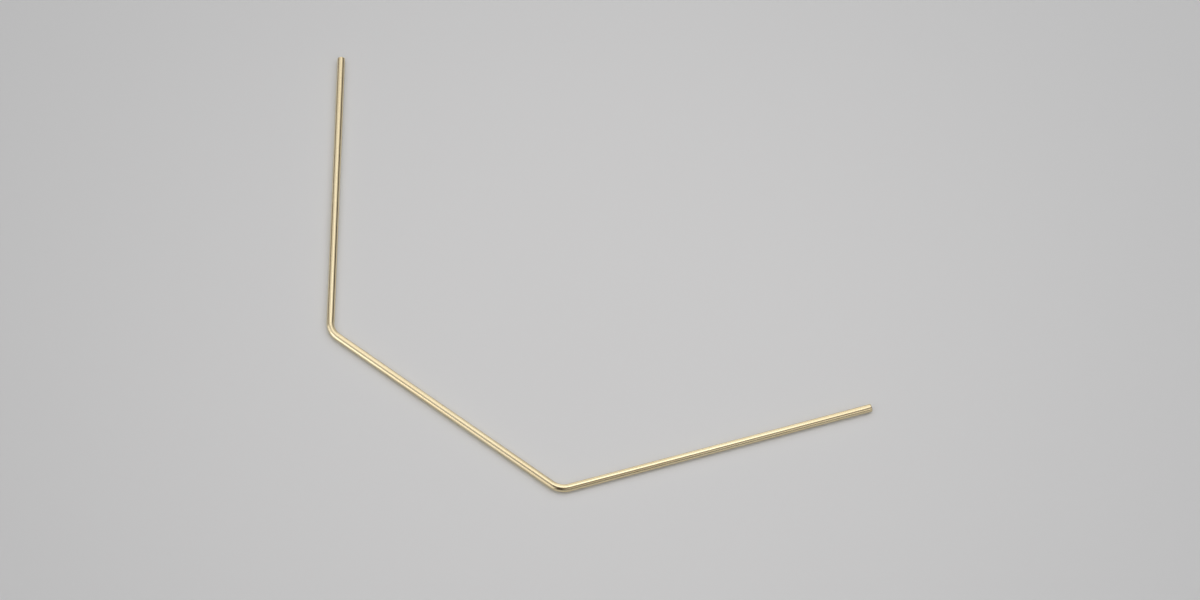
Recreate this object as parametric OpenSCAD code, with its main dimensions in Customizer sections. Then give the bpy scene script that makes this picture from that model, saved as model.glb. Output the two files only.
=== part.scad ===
// Stabilizer bar of a model car: one length of round spring-steel wire with two bends.
// The straight centre section turns in two bearing blocks on the chassis. The arms splay
// outwards, and a link's clamp collar slides over each plain end and is set along the arm.
// The bar lies flat. The centre section's axis runs along X through the origin, the arms
// point towards +Y, and the wire's axis is at z = 0 all the way.

/* [Wire] */
// Diameter of the wire
wire_d = 2; // [1:0.1:4]
// Radius that tumbling leaves on the rim of each cut end
end_round = 0.3; // [0.1:0.05:0.4]

/* [Centre section] */
// Length of the centre section, to the points where its axis meets the arms' axes
centre_span = 72; // [40:1:160]

/* [Arms] */
// Length of each arm, from that meeting point to the face of its cut end
arm_span = 80; // [30:1:160]

/* [Bends] */
// Angle by which each arm turns away from the line of the centre section
bend_angle = 53; // [10:1:90]
// Radius of each bend, at the wire's axis
bend_r = 5; // [3:0.5:10]
// Diameter that the wire loses in a bend, where bending stretches it
bend_thinning = 0.01; // [0.01:0.01:0.05]

/* [Hidden] */
$fn = 48;
wire_r = wire_d / 2;
bent_wire_r = (wire_d - bend_thinning) / 2;
// How far short of the meeting point each straight ends, to leave room for the bend
setback = bend_r * tan(bend_angle / 2);
centre_straight = centre_span - 2 * setback;
arm_straight = arm_span - setback;
// How far the full wire of each straight reaches over the thinner wire of the bend
lap = 0.1;

// The centre section's straight wire, along X with the origin at its middle
module centre_section() {
    rotate([0, 90, 0])
        cylinder(h = centre_straight + 2 * lap, r = wire_r, center = true);
}

// A bend about the origin that begins below it, heading along +X, and turns towards +Y
module bend() {
    rotate([0, 0, -90])
        rotate_extrude(angle = bend_angle)
            translate([bend_r, 0])
                circle(r = bent_wire_r);
}

// Half of an arm's section along its axis: the straight wire, with a round on its cut rim
module arm_profile() {
    translate([0, -lap])
        square([wire_r, arm_straight - end_round + lap]);
    square([wire_r - end_round, arm_straight]);
    intersection() {
        square([wire_r, arm_straight]);
        translate([wire_r - end_round, arm_straight - end_round])
            circle(r = end_round);
    }
}

// An arm along +X to its cut end, with the bend's end at the origin
module arm() {
    rotate([0, 90, 0])
        rotate_extrude()
            arm_profile();
}

// The bend and the arm at the centre section's +X end. The arm turns about the bend's centre.
module bent_side() {
    translate([centre_straight / 2, bend_r, 0]) {
        bend();
        rotate([0, 0, bend_angle])
            translate([0, -bend_r, 0])
                arm();
    }
}

module stabilizer_bar() {
    color("#cdb77d")
        union() {
            centre_section();
            bent_side();
            mirror([1, 0, 0])
                bent_side();
        }
}

stabilizer_bar();
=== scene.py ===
# %% [markdown]
# # A stabilizer bar in Blender
#
# The bar is one length of round spring-steel wire, 2 mm thick, with two bends and a pale
# gold plating. It lies flat on a pale table, and its two arms splay outwards. There is
# little shape to see, so the picture rests on three things: bends that are truly round, the
# stripes that the lights draw along the wire, and a finish that still looks like drawn wire
# from close by.
#
# The CAD model is loaded first, as a fixed frame. All lengths from here on are in metres.

# %% Load the frame
import math

import bpy
import numpy as np
from mathutils import Matrix, Vector


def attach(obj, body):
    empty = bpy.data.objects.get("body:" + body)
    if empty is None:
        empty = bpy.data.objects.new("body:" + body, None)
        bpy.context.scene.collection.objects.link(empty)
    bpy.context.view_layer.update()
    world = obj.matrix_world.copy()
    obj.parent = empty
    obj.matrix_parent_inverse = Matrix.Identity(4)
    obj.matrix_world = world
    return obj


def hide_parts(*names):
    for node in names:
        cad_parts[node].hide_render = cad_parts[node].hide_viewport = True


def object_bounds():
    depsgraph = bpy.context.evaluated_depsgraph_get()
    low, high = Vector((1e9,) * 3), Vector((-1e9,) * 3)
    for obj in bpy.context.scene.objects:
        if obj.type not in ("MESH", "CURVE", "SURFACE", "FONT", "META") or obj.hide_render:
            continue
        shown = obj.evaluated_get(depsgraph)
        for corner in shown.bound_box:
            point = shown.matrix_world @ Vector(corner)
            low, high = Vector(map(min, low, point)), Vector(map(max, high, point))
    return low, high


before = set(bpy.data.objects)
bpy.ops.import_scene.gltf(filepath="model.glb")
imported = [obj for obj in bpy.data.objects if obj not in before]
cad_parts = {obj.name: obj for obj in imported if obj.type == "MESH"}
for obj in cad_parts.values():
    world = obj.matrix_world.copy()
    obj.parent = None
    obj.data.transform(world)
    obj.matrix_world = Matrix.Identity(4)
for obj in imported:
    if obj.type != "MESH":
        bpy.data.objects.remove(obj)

MM = 0.001
cad_low, cad_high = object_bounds()
print("CAD box in mm", [round(v / MM, 2) for v in (*cad_low, *cad_high)])

# %% [markdown]
# ## The camera
#
# A photograph fixes where its camera stood once enough points of a known shape are found in
# it. Here that is the line of the wire from tip to tip. The camera stands 37 degrees round
# from the front, looks down steeply, and has a long lens, because both arms look nearly as
# thick as the centre section. It points at the middle of the picture with no shift.

# %% Place the camera
CAMERA_AZIMUTH = 36.87
CAMERA_ELEVATION = 62.70
CAMERA_PLACE = (233.76 * MM, -247.29 * MM, 714.20 * MM)
LENS = 96
camera_data = bpy.data.cameras.new("camera")
camera_data.sensor_width = 36
camera_data.lens = LENS
camera_data.clip_start, camera_data.clip_end = 0.01, 20
camera = bpy.data.objects.new("camera", camera_data)
camera.location = CAMERA_PLACE
camera.rotation_euler = (math.radians(90 - CAMERA_ELEVATION), 0, math.radians(CAMERA_AZIMUTH))
bpy.context.collection.objects.link(camera)
bpy.context.scene.camera = camera
print("camera at", [round(v, 3) for v in camera.location], "lens", LENS, "mm")

# %% [markdown]
# ## The wire's sizes
#
# A bent bar is described as its maker would bend it: so much straight wire, a bend of so
# many degrees round a pin, straight wire again. The arms' axes meet the centre section's
# axis at two points, 72 mm apart, and each arm is 80 mm from there to its cut end. A bend
# that is tangent to both straights starts a little before that point, by the radius times
# the tangent of half the angle. The CAD wire is made of flat facets with their corners on a
# 2 mm circle, so its box is a few thousandths of a millimetre too small for a true round.
# The radius here is 4 thousandths less than 1 mm, to stay inside that box.

# %% Sizes of the bar
WIRE_RADIUS = 0.996 * MM
END_ROUND = 0.3 * MM
CENTRE_SPAN = 72 * MM
ARM_SPAN = 80 * MM
BEND_ANGLE = math.radians(53)
BEND_RADIUS = 5 * MM
setback = BEND_RADIUS * math.tan(BEND_ANGLE / 2)
arm_straight = ARM_SPAN - setback
centre_straight = CENTRE_SPAN - 2 * setback
bend_length = BEND_RADIUS * BEND_ANGLE
wire_length = 2 * arm_straight + 2 * bend_length + centre_straight
print("wire length %.2f mm, bend %.2f mm each" % (wire_length / MM, bend_length / MM))

# %% [markdown]
# ## The line that the wire follows
#
# The straight wire is a line with a distance along it, and bending only changes which way
# each bit of it points. So the line is worked out stretch by stretch: each stretch adds the
# part of it that lies before the asked distance. A straight adds that length along its
# heading, and a bend adds a piece of a circle. Clipping a distance to a stretch does this
# for all points at once, with no loop over them.

# %% The centreline
def within(distance, start, length):
    """How much of a stretch lies before each distance: distance - start, kept in 0 to length."""
    return np.clip(distance - start, 0, length)


def centreline(distance):
    """Points of the wire's axis and its heading angle, at distances from the left cut end.

    A straight of heading h adds t (cos h, sin h) for the length t that is within it. A bend
    of radius R that starts at heading h and has turned by a adds
    R (sin(h + a) - sin h, cos h - cos(h + a)).
    """
    heading = np.full(distance.shape, -BEND_ANGLE)
    x = np.full(distance.shape, -CENTRE_SPAN / 2 - ARM_SPAN * math.cos(BEND_ANGLE))
    y = np.full(distance.shape, ARM_SPAN * math.sin(BEND_ANGLE))
    start = 0.0
    for h, length, bent in (
        (-BEND_ANGLE, arm_straight, False),
        (-BEND_ANGLE, bend_length, True),
        (0.0, centre_straight, False),
        (0.0, bend_length, True),
        (BEND_ANGLE, arm_straight, False),
    ):
        t = within(distance, start, length)
        if bent:
            a = t / BEND_RADIUS
            x += BEND_RADIUS * (np.sin(h + a) - math.sin(h))
            y += BEND_RADIUS * (math.cos(h) - np.cos(h + a))
            heading += a
        else:
            x += t * math.cos(h)
            y += t * math.sin(h)
        start += length
    return x, y, heading


marks = np.array([0, wire_length / 2, wire_length])
marked = np.array(centreline(marks)[:2]).T / MM
print("left tip, middle and right tip in mm:", *marked.round(2).tolist())

# %% [markdown]
# ## The profile along the wire
#
# A cut end isn't a sharp disc. Tumbling takes the burr off and leaves a small round on the
# rim. So the rings of the surface start at the middle of the left face, run out over the
# face, round the rim, go along the wire, and come back the same way at the right end. Rings
# are close where the surface turns, in the rims and bends, and far apart on the straights.

# %% Rings from end to end
RIM_RINGS = 9
FACE_RINGS = 5
BEND_STEP = 0.12 * MM
STRAIGHT_STEP = 1.0 * MM


def end_rings():
    """Distances from the cut face and radii of the rings over it: a flat disc, then a quarter
    circle of radius e whose ring at angle a lies e (1 - cos a) in, at R - e + e sin a."""
    face = np.linspace(0, 1, FACE_RINGS + 1)[1:] * (WIRE_RADIUS - END_ROUND)
    a = np.linspace(0, math.pi / 2, RIM_RINGS)[1:]
    distance = np.concatenate([0 * face, END_ROUND * (1 - np.cos(a))])
    radius = np.concatenate([face, WIRE_RADIUS - END_ROUND + END_ROUND * np.sin(a)])
    return distance, radius


def rings():
    """Distance along the wire and radius of every ring, from the left face to the right."""
    near, near_radius = end_rings()
    edges = np.cumsum([END_ROUND, arm_straight - END_ROUND, bend_length, centre_straight,
                       bend_length, arm_straight - END_ROUND])
    steps = (STRAIGHT_STEP, BEND_STEP, STRAIGHT_STEP, BEND_STEP, STRAIGHT_STEP)
    body = [np.linspace(a, b, max(2, int(round((b - a) / step))), endpoint=False)
            for a, b, step in zip(edges, edges[1:], steps)]
    body = np.concatenate(body)[1:]
    distance = np.concatenate([near, body, wire_length - near[::-1]])
    radius = np.concatenate([near_radius, np.full(body.shape, WIRE_RADIUS), near_radius[::-1]])
    return distance, radius


ring_distance, ring_radius = rings()
print(len(ring_distance), "rings")

# %% [markdown]
# ## What bending does to the section
#
# Wire that is bent round a pin doesn't stay quite round. The outer side is stretched and
# pulls flat, and the pin presses a faint flat into the inner side. Both are hundredths of a
# millimetre here, but a plated wire is a mirror, and its stripes would look computed without
# them. The mask that says how bent the wire is also goes to the finish later on.

# %% The section in the bends
OUTER_FLATTENING = 0.020
PIN_FLATTENING = 0.012
AROUND = 96


def bent_share(distance):
    """1 inside a bend and 0 on the straights, with a smooth rise and fall of one wire radius,
    which is 3 t^2 - 2 t^3 where a share t of that way is done."""
    share = np.zeros(distance.shape)
    for start in (arm_straight, arm_straight + bend_length + centre_straight):
        rise = np.clip((distance - start + WIRE_RADIUS / 2) / WIRE_RADIUS, 0, 1)
        fall = np.clip((start + bend_length + WIRE_RADIUS / 2 - distance) / WIRE_RADIUS, 0, 1)
        share += rise * rise * (3 - 2 * rise) * fall * fall * (3 - 2 * fall)
    return share


def wire_surface(distance, radius, angle):
    """The wire's surface as a function of the distance along it and the angle round it.

    The angle starts on the inner side of the bends, where its cosine is 1. A point lies at
    axis + r (cos(angle) inward + sin(angle) up), with r the ring's radius less the bend's
    flattening: outer (-cos)^2 where the cosine is negative, and pin cos^4 where it isn't.
    """
    x, y, heading = (value[:, None] for value in centreline(distance))
    inner, outer = np.maximum(np.cos(angle), 0), np.maximum(-np.cos(angle), 0)
    flattening = OUTER_FLATTENING * outer**2 + PIN_FLATTENING * inner**4
    r = radius[:, None] * (1 - bent_share(distance)[:, None] * flattening)
    inward, up = r * np.cos(angle), r * np.sin(angle)
    return np.stack([x - inward * np.sin(heading), y + inward * np.cos(heading), up + 0 * x], -1)


around = np.arange(AROUND) / AROUND * 2 * math.pi
grid = wire_surface(ring_distance, ring_radius, around)
grid_low, grid_high = grid.min((0, 1)) / MM, grid.max((0, 1)) / MM
print("grid", grid.shape, "box in mm", grid_low.round(3), grid_high.round(3))

# %% [markdown]
# ## From grid to mesh
#
# The grid closes round the wire, so the last column joins the first and there is no seam.
# One point in the middle of each cut face closes the ends. Each face looks up its corners
# by arithmetic on the grid's row and column, and all of them are made at once.

# %% Faces between the rings
def wire_faces(count):
    """The corners of the quads between neighbouring rings, and of the fan of triangles at each
    end. Point j of ring i is number i * AROUND + j, and the two middles come after them all."""
    i, j = np.meshgrid(np.arange(count - 1), np.arange(AROUND), indexing="ij")
    k = (j + 1) % AROUND
    ring, after = i * AROUND, (i + 1) * AROUND
    quads = np.stack([ring + j, ring + k, after + k, after + j], -1)
    j = np.arange(AROUND)
    k = (j + 1) % AROUND
    left, right = count * AROUND, count * AROUND + 1
    last = (count - 1) * AROUND
    first_fan = np.stack([np.full(AROUND, left), k, j], -1)
    last_fan = np.stack([np.full(AROUND, right), last + j, last + k], -1)
    return quads.reshape(-1, 4), first_fan, last_fan


print("quads, left fan and right fan:", [len(part) for part in wire_faces(len(ring_distance))])

# %% [markdown]
# ## A map that unrolls the wire
#
# Anyone who paints or bakes the bar needs a flat map of it. Unrolled, the wire is a strip
# more than thirty times as long as it is wide. It fits a square map far better when it is
# cut into rows of equal length, and each row is laid above the last.

# %% The unrolled map
MAP_ROWS = 6
MAP_MARGIN = 0.004


def unrolled(profile, count):
    """Map places of the corners, in the order of wire_faces: the profile's length runs along
    rows of equal length, and the angle runs across each row."""
    row_length = profile[-1] / MAP_ROWS
    margin = MAP_MARGIN
    i, j = np.meshgrid(np.arange(count - 1), np.arange(AROUND), indexing="ij")
    inner = profile[1:-1]

    def place(start, end, column, ring_profile):
        row = np.minimum(((start + end) / 2 / row_length).astype(int), MAP_ROWS - 1)
        u = margin + (1 - 2 * margin) * (ring_profile - row * row_length) / row_length
        v = (row + margin * MAP_ROWS + (1 - 2 * margin * MAP_ROWS) * column / AROUND) / MAP_ROWS
        return np.stack([u, v], -1)

    start, end = inner[i], inner[i + 1]
    quads = np.stack([place(start, end, j, start), place(start, end, j + 1, start),
                      place(start, end, j + 1, end), place(start, end, j, end)], -2)
    j = np.arange(AROUND)
    zero, one = 0 * j + profile[0], 0 * j + profile[1]
    first = np.stack([place(zero, one, j + 0.5, zero), place(zero, one, j + 1, one),
                      place(zero, one, j, one)], -2)
    one, zero = 0 * j + profile[-2], 0 * j + profile[-1]
    last = np.stack([place(one, zero, j + 0.5, zero), place(one, zero, j, one),
                     place(one, zero, j + 1, one)], -2)
    return np.concatenate([quads.reshape(-1, 2), first.reshape(-1, 2), last.reshape(-1, 2)])


strip = wire_length / MM, 2 * math.pi * WIRE_RADIUS / MM
print("the strip is %.1f by %.1f mm, in %d rows" % (*strip, MAP_ROWS))

# %% [markdown]
# ## What each point remembers
#
# The finish has to bend with the wire, as the real one does: its draw marks were made while
# it was straight. So each point keeps its place on the straight wire, in an attribute called
# drawn. Two more attributes say how bent the wire is there, and whether it is a cut face.

# %% Build the mesh
PLATED_RIM = 0.7  # how much of the rim's round the plating still covers


def wire_mesh(name):
    """The bar's mesh, with its attributes and its unrolled map."""
    count = len(ring_distance)
    tips = np.array(centreline(np.array([0, wire_length]))[:2]).T
    points = np.concatenate([grid.reshape(-1, 3), np.c_[tips, [0, 0]]])
    quads, first_fan, last_fan = wire_faces(count)
    loops = np.concatenate([quads.ravel(), first_fan.ravel(), last_fan.ravel()])
    sizes = np.concatenate([np.full(len(quads), 4), np.full(2 * AROUND, 3)])
    mesh = bpy.data.meshes.new(name)
    mesh.vertices.add(len(points))
    mesh.vertices.foreach_set("co", points.ravel())
    mesh.loops.add(len(loops))
    mesh.loops.foreach_set("vertex_index", loops)
    mesh.polygons.add(len(sizes))
    mesh.polygons.foreach_set("loop_start", np.cumsum(sizes) - sizes)
    mesh.polygons.foreach_set("use_smooth", np.ones(len(sizes), bool))
    mesh.update(calc_edges=True)

    along = np.append(np.repeat(ring_distance, AROUND), [0, wire_length])
    drawn_radius = np.append(np.repeat(ring_radius, AROUND), [0, 0])
    turn = np.append(np.tile(around, count), [0, 0])
    drawn = np.stack([along, drawn_radius * np.cos(turn), drawn_radius * np.sin(turn)], -1)
    mesh.attributes.new("drawn", "FLOAT_VECTOR", "POINT").data.foreach_set("vector", drawn.ravel())
    mesh.attributes.new("bent", "FLOAT", "POINT").data.foreach_set("value", bent_share(along))
    cut = (drawn_radius < WIRE_RADIUS - PLATED_RIM * END_ROUND).astype(float)
    mesh.attributes.new("cut", "FLOAT", "POINT").data.foreach_set("value", cut)

    step = np.hypot(np.diff(ring_distance), np.diff(ring_radius))
    centre_step = ring_radius[0]
    profile = np.cumsum(np.concatenate([[0, centre_step], step, [centre_step]]))
    uv = mesh.uv_layers.new(name="OFBake")
    uv.uv.foreach_set("vector", unrolled(profile, count).ravel())
    return mesh


bar_mesh = wire_mesh("bent_wire")
print(len(bar_mesh.vertices), "vertices,", len(bar_mesh.polygons), "faces")
print("mesh is valid:", not bar_mesh.validate())

# %% The bar as a piece
bar = bpy.data.objects.new("bent_wire", bar_mesh)
bpy.context.collection.objects.link(bar)
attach(bar, "root")
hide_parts("stabilizer_bar")
print("bent_wire stands for the CAD solid stabilizer_bar")

# %% [markdown]
# ## Writing shader maths as Python
#
# A finish is a sum of small effects, and a tree of nodes for it soon gets hard to read. The
# class below wraps one output socket. Adding or multiplying two of them adds the Math node
# that does it, so a mask reads as the formula it is. One method makes every other node.

# %% A class for sockets
class Signal:
    """One output socket of a node tree, used like a number."""

    def __init__(self, tree, socket=None):
        self.tree, self.socket = tree, socket

    def node(self, kind, settings=(), values=(), out=0):
        """Adds a node of that kind, with its settings first and then its sockets' values."""
        made = self.tree.nodes.new("ShaderNode" + kind)
        for name, value in dict(settings).items():
            setattr(made, name, value)
        for name, value in dict(values).items():
            if isinstance(value, Signal):
                self.tree.links.new(value.socket, made.inputs[name])
            else:
                made.inputs[name].default_value = value
        return Signal(self.tree, made.outputs[out])

    def math(self, operation, *terms):
        """Adds a Math node on these terms, each a signal or a number."""
        return self.node("Math", {"operation": operation}, dict(enumerate(terms)))

    def __add__(self, other):
        return self.math("ADD", self, other)

    def __sub__(self, other):
        return self.math("SUBTRACT", self, other)

    def __mul__(self, other):
        return self.math("MULTIPLY", self, other)

    def __radd__(self, other):
        return self.math("ADD", other, self)

    def __rsub__(self, other):
        return self.math("SUBTRACT", other, self)

    def __rmul__(self, other):
        return self.math("MULTIPLY", other, self)

    def ramp(self, low, high):
        """0 below low, 1 above high and a smooth step between."""
        return self.node("MapRange", {"interpolation_type": "SMOOTHSTEP"},
                         {"Value": self, "From Min": low, "From Max": high})

    def blend(self, colour_a, colour_b):
        """colour_a where this signal is 0 and colour_b where it is 1."""
        return self.node("Mix", {"data_type": "RGBA"}, {0: self, 6: colour_a, 7: colour_b}, out=2)

    def scaled(self, x, y, z):
        """This vector with each of its parts multiplied."""
        return self.node("VectorMath", {"operation": "MULTIPLY"}, {0: self, 1: (x, y, z)})

    def noise(self, detail=2.0, rough=0.5):
        """Noise from 0 to 1 at this vector, about 0.5 on average, with cells of size 1."""
        return self.node("TexNoise", (), {"Vector": self, "Scale": 1.0, "Detail": detail,
                                          "Roughness": rough})


print("a Signal can be added, subtracted, multiplied, ramped and blended")

# %% Two helpers for materials
def new_material(name):
    """A material with a Principled shader, and a Signal to start its maths from."""
    material = bpy.data.materials.new(name)
    material.use_nodes = True
    tree = material.node_tree
    return material, tree.nodes["Principled BSDF"], Signal(tree)


def feed(shader, socket, signal):
    """Links a signal to one of the shader's sockets."""
    signal.tree.links.new(signal.socket, shader.inputs[socket])


print("each material starts from a Principled shader")

# %% [markdown]
# ## Pale gold over drawn steel
#
# Spring wire gets its size by being pulled through a die, which leaves fine lines along it.
# The plating is only microns thick, so the lines show through it. They are a tenth of a
# millimetre apart and many millimetres long, which is a noise pattern stretched along the
# straight wire. Broader streaks and a slow drift of the tint keep the long stripes of light
# from looking ruled. In the bends the plating has been strained and is a little duller. On
# the cut faces the grinding lines run straight across, and the steel shows through.

# %% The wire's finish
PALE_GOLD = (0.803, 0.699, 0.463, 1)
WARM_GOLD = (0.766, 0.649, 0.413, 1)
SILVERY_GOLD = (0.811, 0.733, 0.526, 1)
BARE_STEEL = (0.50, 0.48, 0.42, 1)
LINE_DEPTH = 0.002 * MM
finish, shader, start = new_material("gold_plated_wire")
drawn = start.node("Attribute", {"attribute_name": "drawn"}, out=1)
bent = start.node("Attribute", {"attribute_name": "bent"}, out=2)
cut = start.node("Attribute", {"attribute_name": "cut"}, out=2)

# The three numbers are noise cells per metre, along the wire and across it two ways.
lines = drawn.scaled(90, 9000, 9000).noise(detail=3, rough=0.6)
streaks = drawn.scaled(70, 1500, 1500).noise(detail=2)
drift = drawn.scaled(45, 300, 300).noise(detail=1)
scuffs = drawn.scaled(900, 900, 900).noise(detail=4, rough=0.7).ramp(0.62, 0.74)
grinding = drawn.scaled(100, 14000, 500).noise(detail=3, rough=0.6)

gold = drift.ramp(0.35, 0.68).blend(WARM_GOLD, PALE_GOLD)
gold = (streaks.ramp(0.45, 0.75) * 0.4).blend(gold, SILVERY_GOLD)
feed(shader, "Base Color", cut.blend(gold, BARE_STEEL))
roughness = 0.18 + 0.05 * (streaks - 0.5) + 0.06 * (lines - 0.5) + 0.06 * scuffs + 0.03 * bent
feed(shader, "Roughness", roughness + 0.15 * cut)
shader.inputs["Metallic"].default_value = 1.0
height = lines * (1 - cut) + 1.6 * grinding * cut + 0.4 * scuffs
bumps = start.node("Bump", (), {"Strength": 0.5, "Distance": LINE_DEPTH, "Height": height})
feed(shader, "Normal", bumps)
bar_mesh.materials.append(finish)
print("finish", finish.name, "has", len(finish.node_tree.nodes), "nodes")

# %% [markdown]
# ## The table
#
# The bar lies on its underside, so the table is one wire radius below its axis. It is matt
# and pale grey. Round the bar a pool of light is painted into its colour, so it is a little
# paler there than far away. It is perfectly even otherwise: anything more would draw the eye
# away from the wire.

# %% The floor
FLOOR_SIZE = 2.4
# The paler colour in the middle is a painted pool of light round the bar, not the table's own
# tone.
FLOOR_IN_PAINTED_POOL = (0.827, 0.844, 0.854, 1)
FLOOR_FAR = (0.689, 0.709, 0.721, 1)
PAINTED_POOL_CENTRE = (16 * MM, 36 * MM, 0)
PAINTED_POOL_REACH = (20 * MM, 240 * MM)
floor_mesh = bpy.data.meshes.new("floor")
corner = FLOOR_SIZE / 2
underside = cad_low[2]
floor_mesh.from_pydata([(-corner, -corner, underside), (corner, -corner, underside),
                        (corner, corner, underside), (-corner, corner, underside)],
                       [], [(0, 1, 2, 3)])
floor = bpy.data.objects.new("floor", floor_mesh)
bpy.context.collection.objects.link(floor)
floor_finish, floor_shader, start = new_material("matt_table")
spot = start.node("TexCoord", (), (), out=3)
away = start.node("VectorMath", {"operation": "DISTANCE"}, {0: spot, 1: PAINTED_POOL_CENTRE}, out=1)
# The floor's colour runs from the painted pool of light in the middle to the plain grey far away.
feed(floor_shader, "Base Color", away.ramp(*PAINTED_POOL_REACH).blend(FLOOR_IN_PAINTED_POOL, FLOOR_FAR))
floor_shader.inputs["Roughness"].default_value = 0.9
floor_shader.inputs["Specular IOR Level"].default_value = 0.2
floor_mesh.materials.append(floor_finish)
print("floor at z =", round(underside / MM, 3), "mm")

# %% [markdown]
# ## The lights
#
# A mirror-like wire shows its surroundings, squeezed into stripes along it. A stripe is a
# clue: where the wire shows it, its surface leans halfway between the camera and the light.
# Read back that way, the photograph has a lamp above the bar, a wide bright window low on
# the left, a plain lit wall ahead with a brighter strip low on it, and a dimmer wall on the
# right that reaches round behind the camera. The lamp makes the one broad stripe on each
# arm. The centre section is turned so that it shows the lamp and the window side by side,
# with a thin dark line between them.
#
# Each panel is placed by its direction from the bar, as the camera stands: so many degrees
# to the right of straight ahead, and so many above the table. A panel doesn't hide another
# behind it: their light adds up, which gives a wall its bright middle and a window its core.
# Most of them light only what mirrors them, and two light the table as well. The two clouds
# light nothing but the table: they are the soft light that fills the shadows.

# %% The list of panels
TARGET = Vector((0, 22 * MM, 0))
PANELS = [
    # name, azimuth, elevation, distance, width, height, level, what it lights
    ("ceiling_lamp", 20, 79.5, 1.3, 1.06, 0.94, 0.77, "both"),
    ("lamp_core", 40, 85.5, 1.25, 0.52, 0.52, 0.92, "mirrors"),
    ("far_wall", -2.5, 42, 1.8, 3.9, 2.9, 0.52, "mirrors"),
    ("lit_wall", -12, 31.5, 1.5, 1.55, 1.5, 0.26, "mirrors"),
    ("wall_middle", 8, 38, 1.5, 0.45, 1.0, 0.35, "mirrors"),
    ("low_strip", -4, 4.5, 1.5, 1.46, 0.24, 0.88, "mirrors"),
    ("right_patch", 36, 54, 1.3, 0.55, 0.42, 0.42, "mirrors"),
    ("left_wall", -66, 28.5, 1.5, 0.83, 1.0, 0.18, "mirrors"),
    ("left_window", -111, 21, 1.3, 1.85, 1.0, 1.02, "mirrors"),
    ("window_sill", -102, 5, 1.28, 1.15, 0.22, 0.38, "mirrors"),
    ("window_core", -110, 22, 1.25, 0.54, 0.72, 0.87, "mirrors"),
    ("window_top", -95, 56, 1.4, 0.73, 0.6, 0.55, "mirrors"),
    ("right_wall", 135, 37.5, 1.6, 2.4, 1.26, 0.41, "mirrors"),
    ("right_window", 135, 27, 1.3, 0.62, 0.7, 0.50, "both"),
    ("cloud", 0, 87, 1.2, 3.4, 3.4, 0.60, "table"),
    ("right_cloud", 60, 45, 1.6, 1.2, 1.17, 0.56, "table"),
]
print(len(PANELS), "panels")

# %% Put up the panels
def as_seen(azimuth, elevation):
    """The direction at that azimuth, in degrees to the right of straight ahead of the camera,
    and that elevation above the table: (sin a cos e, cos a cos e, sin e), turned by the
    camera's own azimuth."""
    a = math.radians(azimuth - CAMERA_AZIMUTH)
    e = math.radians(elevation)
    return Vector((math.sin(a) * math.cos(e), math.cos(a) * math.cos(e), math.sin(e)))


def panel(name, azimuth, elevation, distance, width, height, level, lights):
    """A square-edged soft light in that direction, facing the bar, as wide and high as given.
    Its level is how bright it looks in a perfect mirror, where 1 is white, and its power is
    pi times its area times that level."""
    data = bpy.data.lights.new(name, "AREA")
    data.shape = "RECTANGLE"
    data.size, data.size_y = width, height
    data.energy = level * width * height * math.pi
    light = bpy.data.objects.new(name, data)
    back = as_seen(azimuth, elevation)
    upward = as_seen(azimuth, elevation + 90)
    across = upward.cross(back)
    light.matrix_world = Matrix((across, upward, back)).transposed().to_4x4()
    light.location = TARGET + back * distance
    light.visible_diffuse = lights != "mirrors"
    light.visible_glossy = lights != "table"
    bpy.context.collection.objects.link(light)
    return light.location, data.energy


for row in PANELS:
    stands, power = panel(*row)
    print(row[0], "at", [round(v, 2) for v in stands], "power", round(power, 2), "W")

# %% [markdown]
# ## The room
#
# Between the panels the wire shows the room, which is a plain dark brown. Low down, past the
# edge of the table, the world has the table's own pale grey, so the table seems to go on to
# the horizon. It is the same for every ray: what the camera sees there, the wire mirrors.
# A direction's third part is the sine of its height above the horizon, and a ramp on it
# makes the change from one to the other.

# %% The world
ROOM = (0.078, 0.058, 0.050, 1)
BACKDROP = (0.46, 0.46, 0.46, 1)
BACKDROP_TOP = (math.sin(math.radians(0.5)), math.sin(math.radians(1.5)))
world = bpy.data.worlds.new("room")
world.use_nodes = True
bpy.context.scene.world = world
background = world.node_tree.nodes["Background"]
start = Signal(world.node_tree)
direction = start.node("TexCoord", (), (), out=0)
rise = start.node("SeparateXYZ", (), {0: direction}, out=2)
room = rise.ramp(*BACKDROP_TOP).blend(BACKDROP, ROOM)
world.node_tree.links.new(room.socket, background.inputs["Color"])
view = bpy.context.scene.view_settings
view.view_transform = "Standard"
print("room", ROOM[:3], "view transform", view.view_transform)
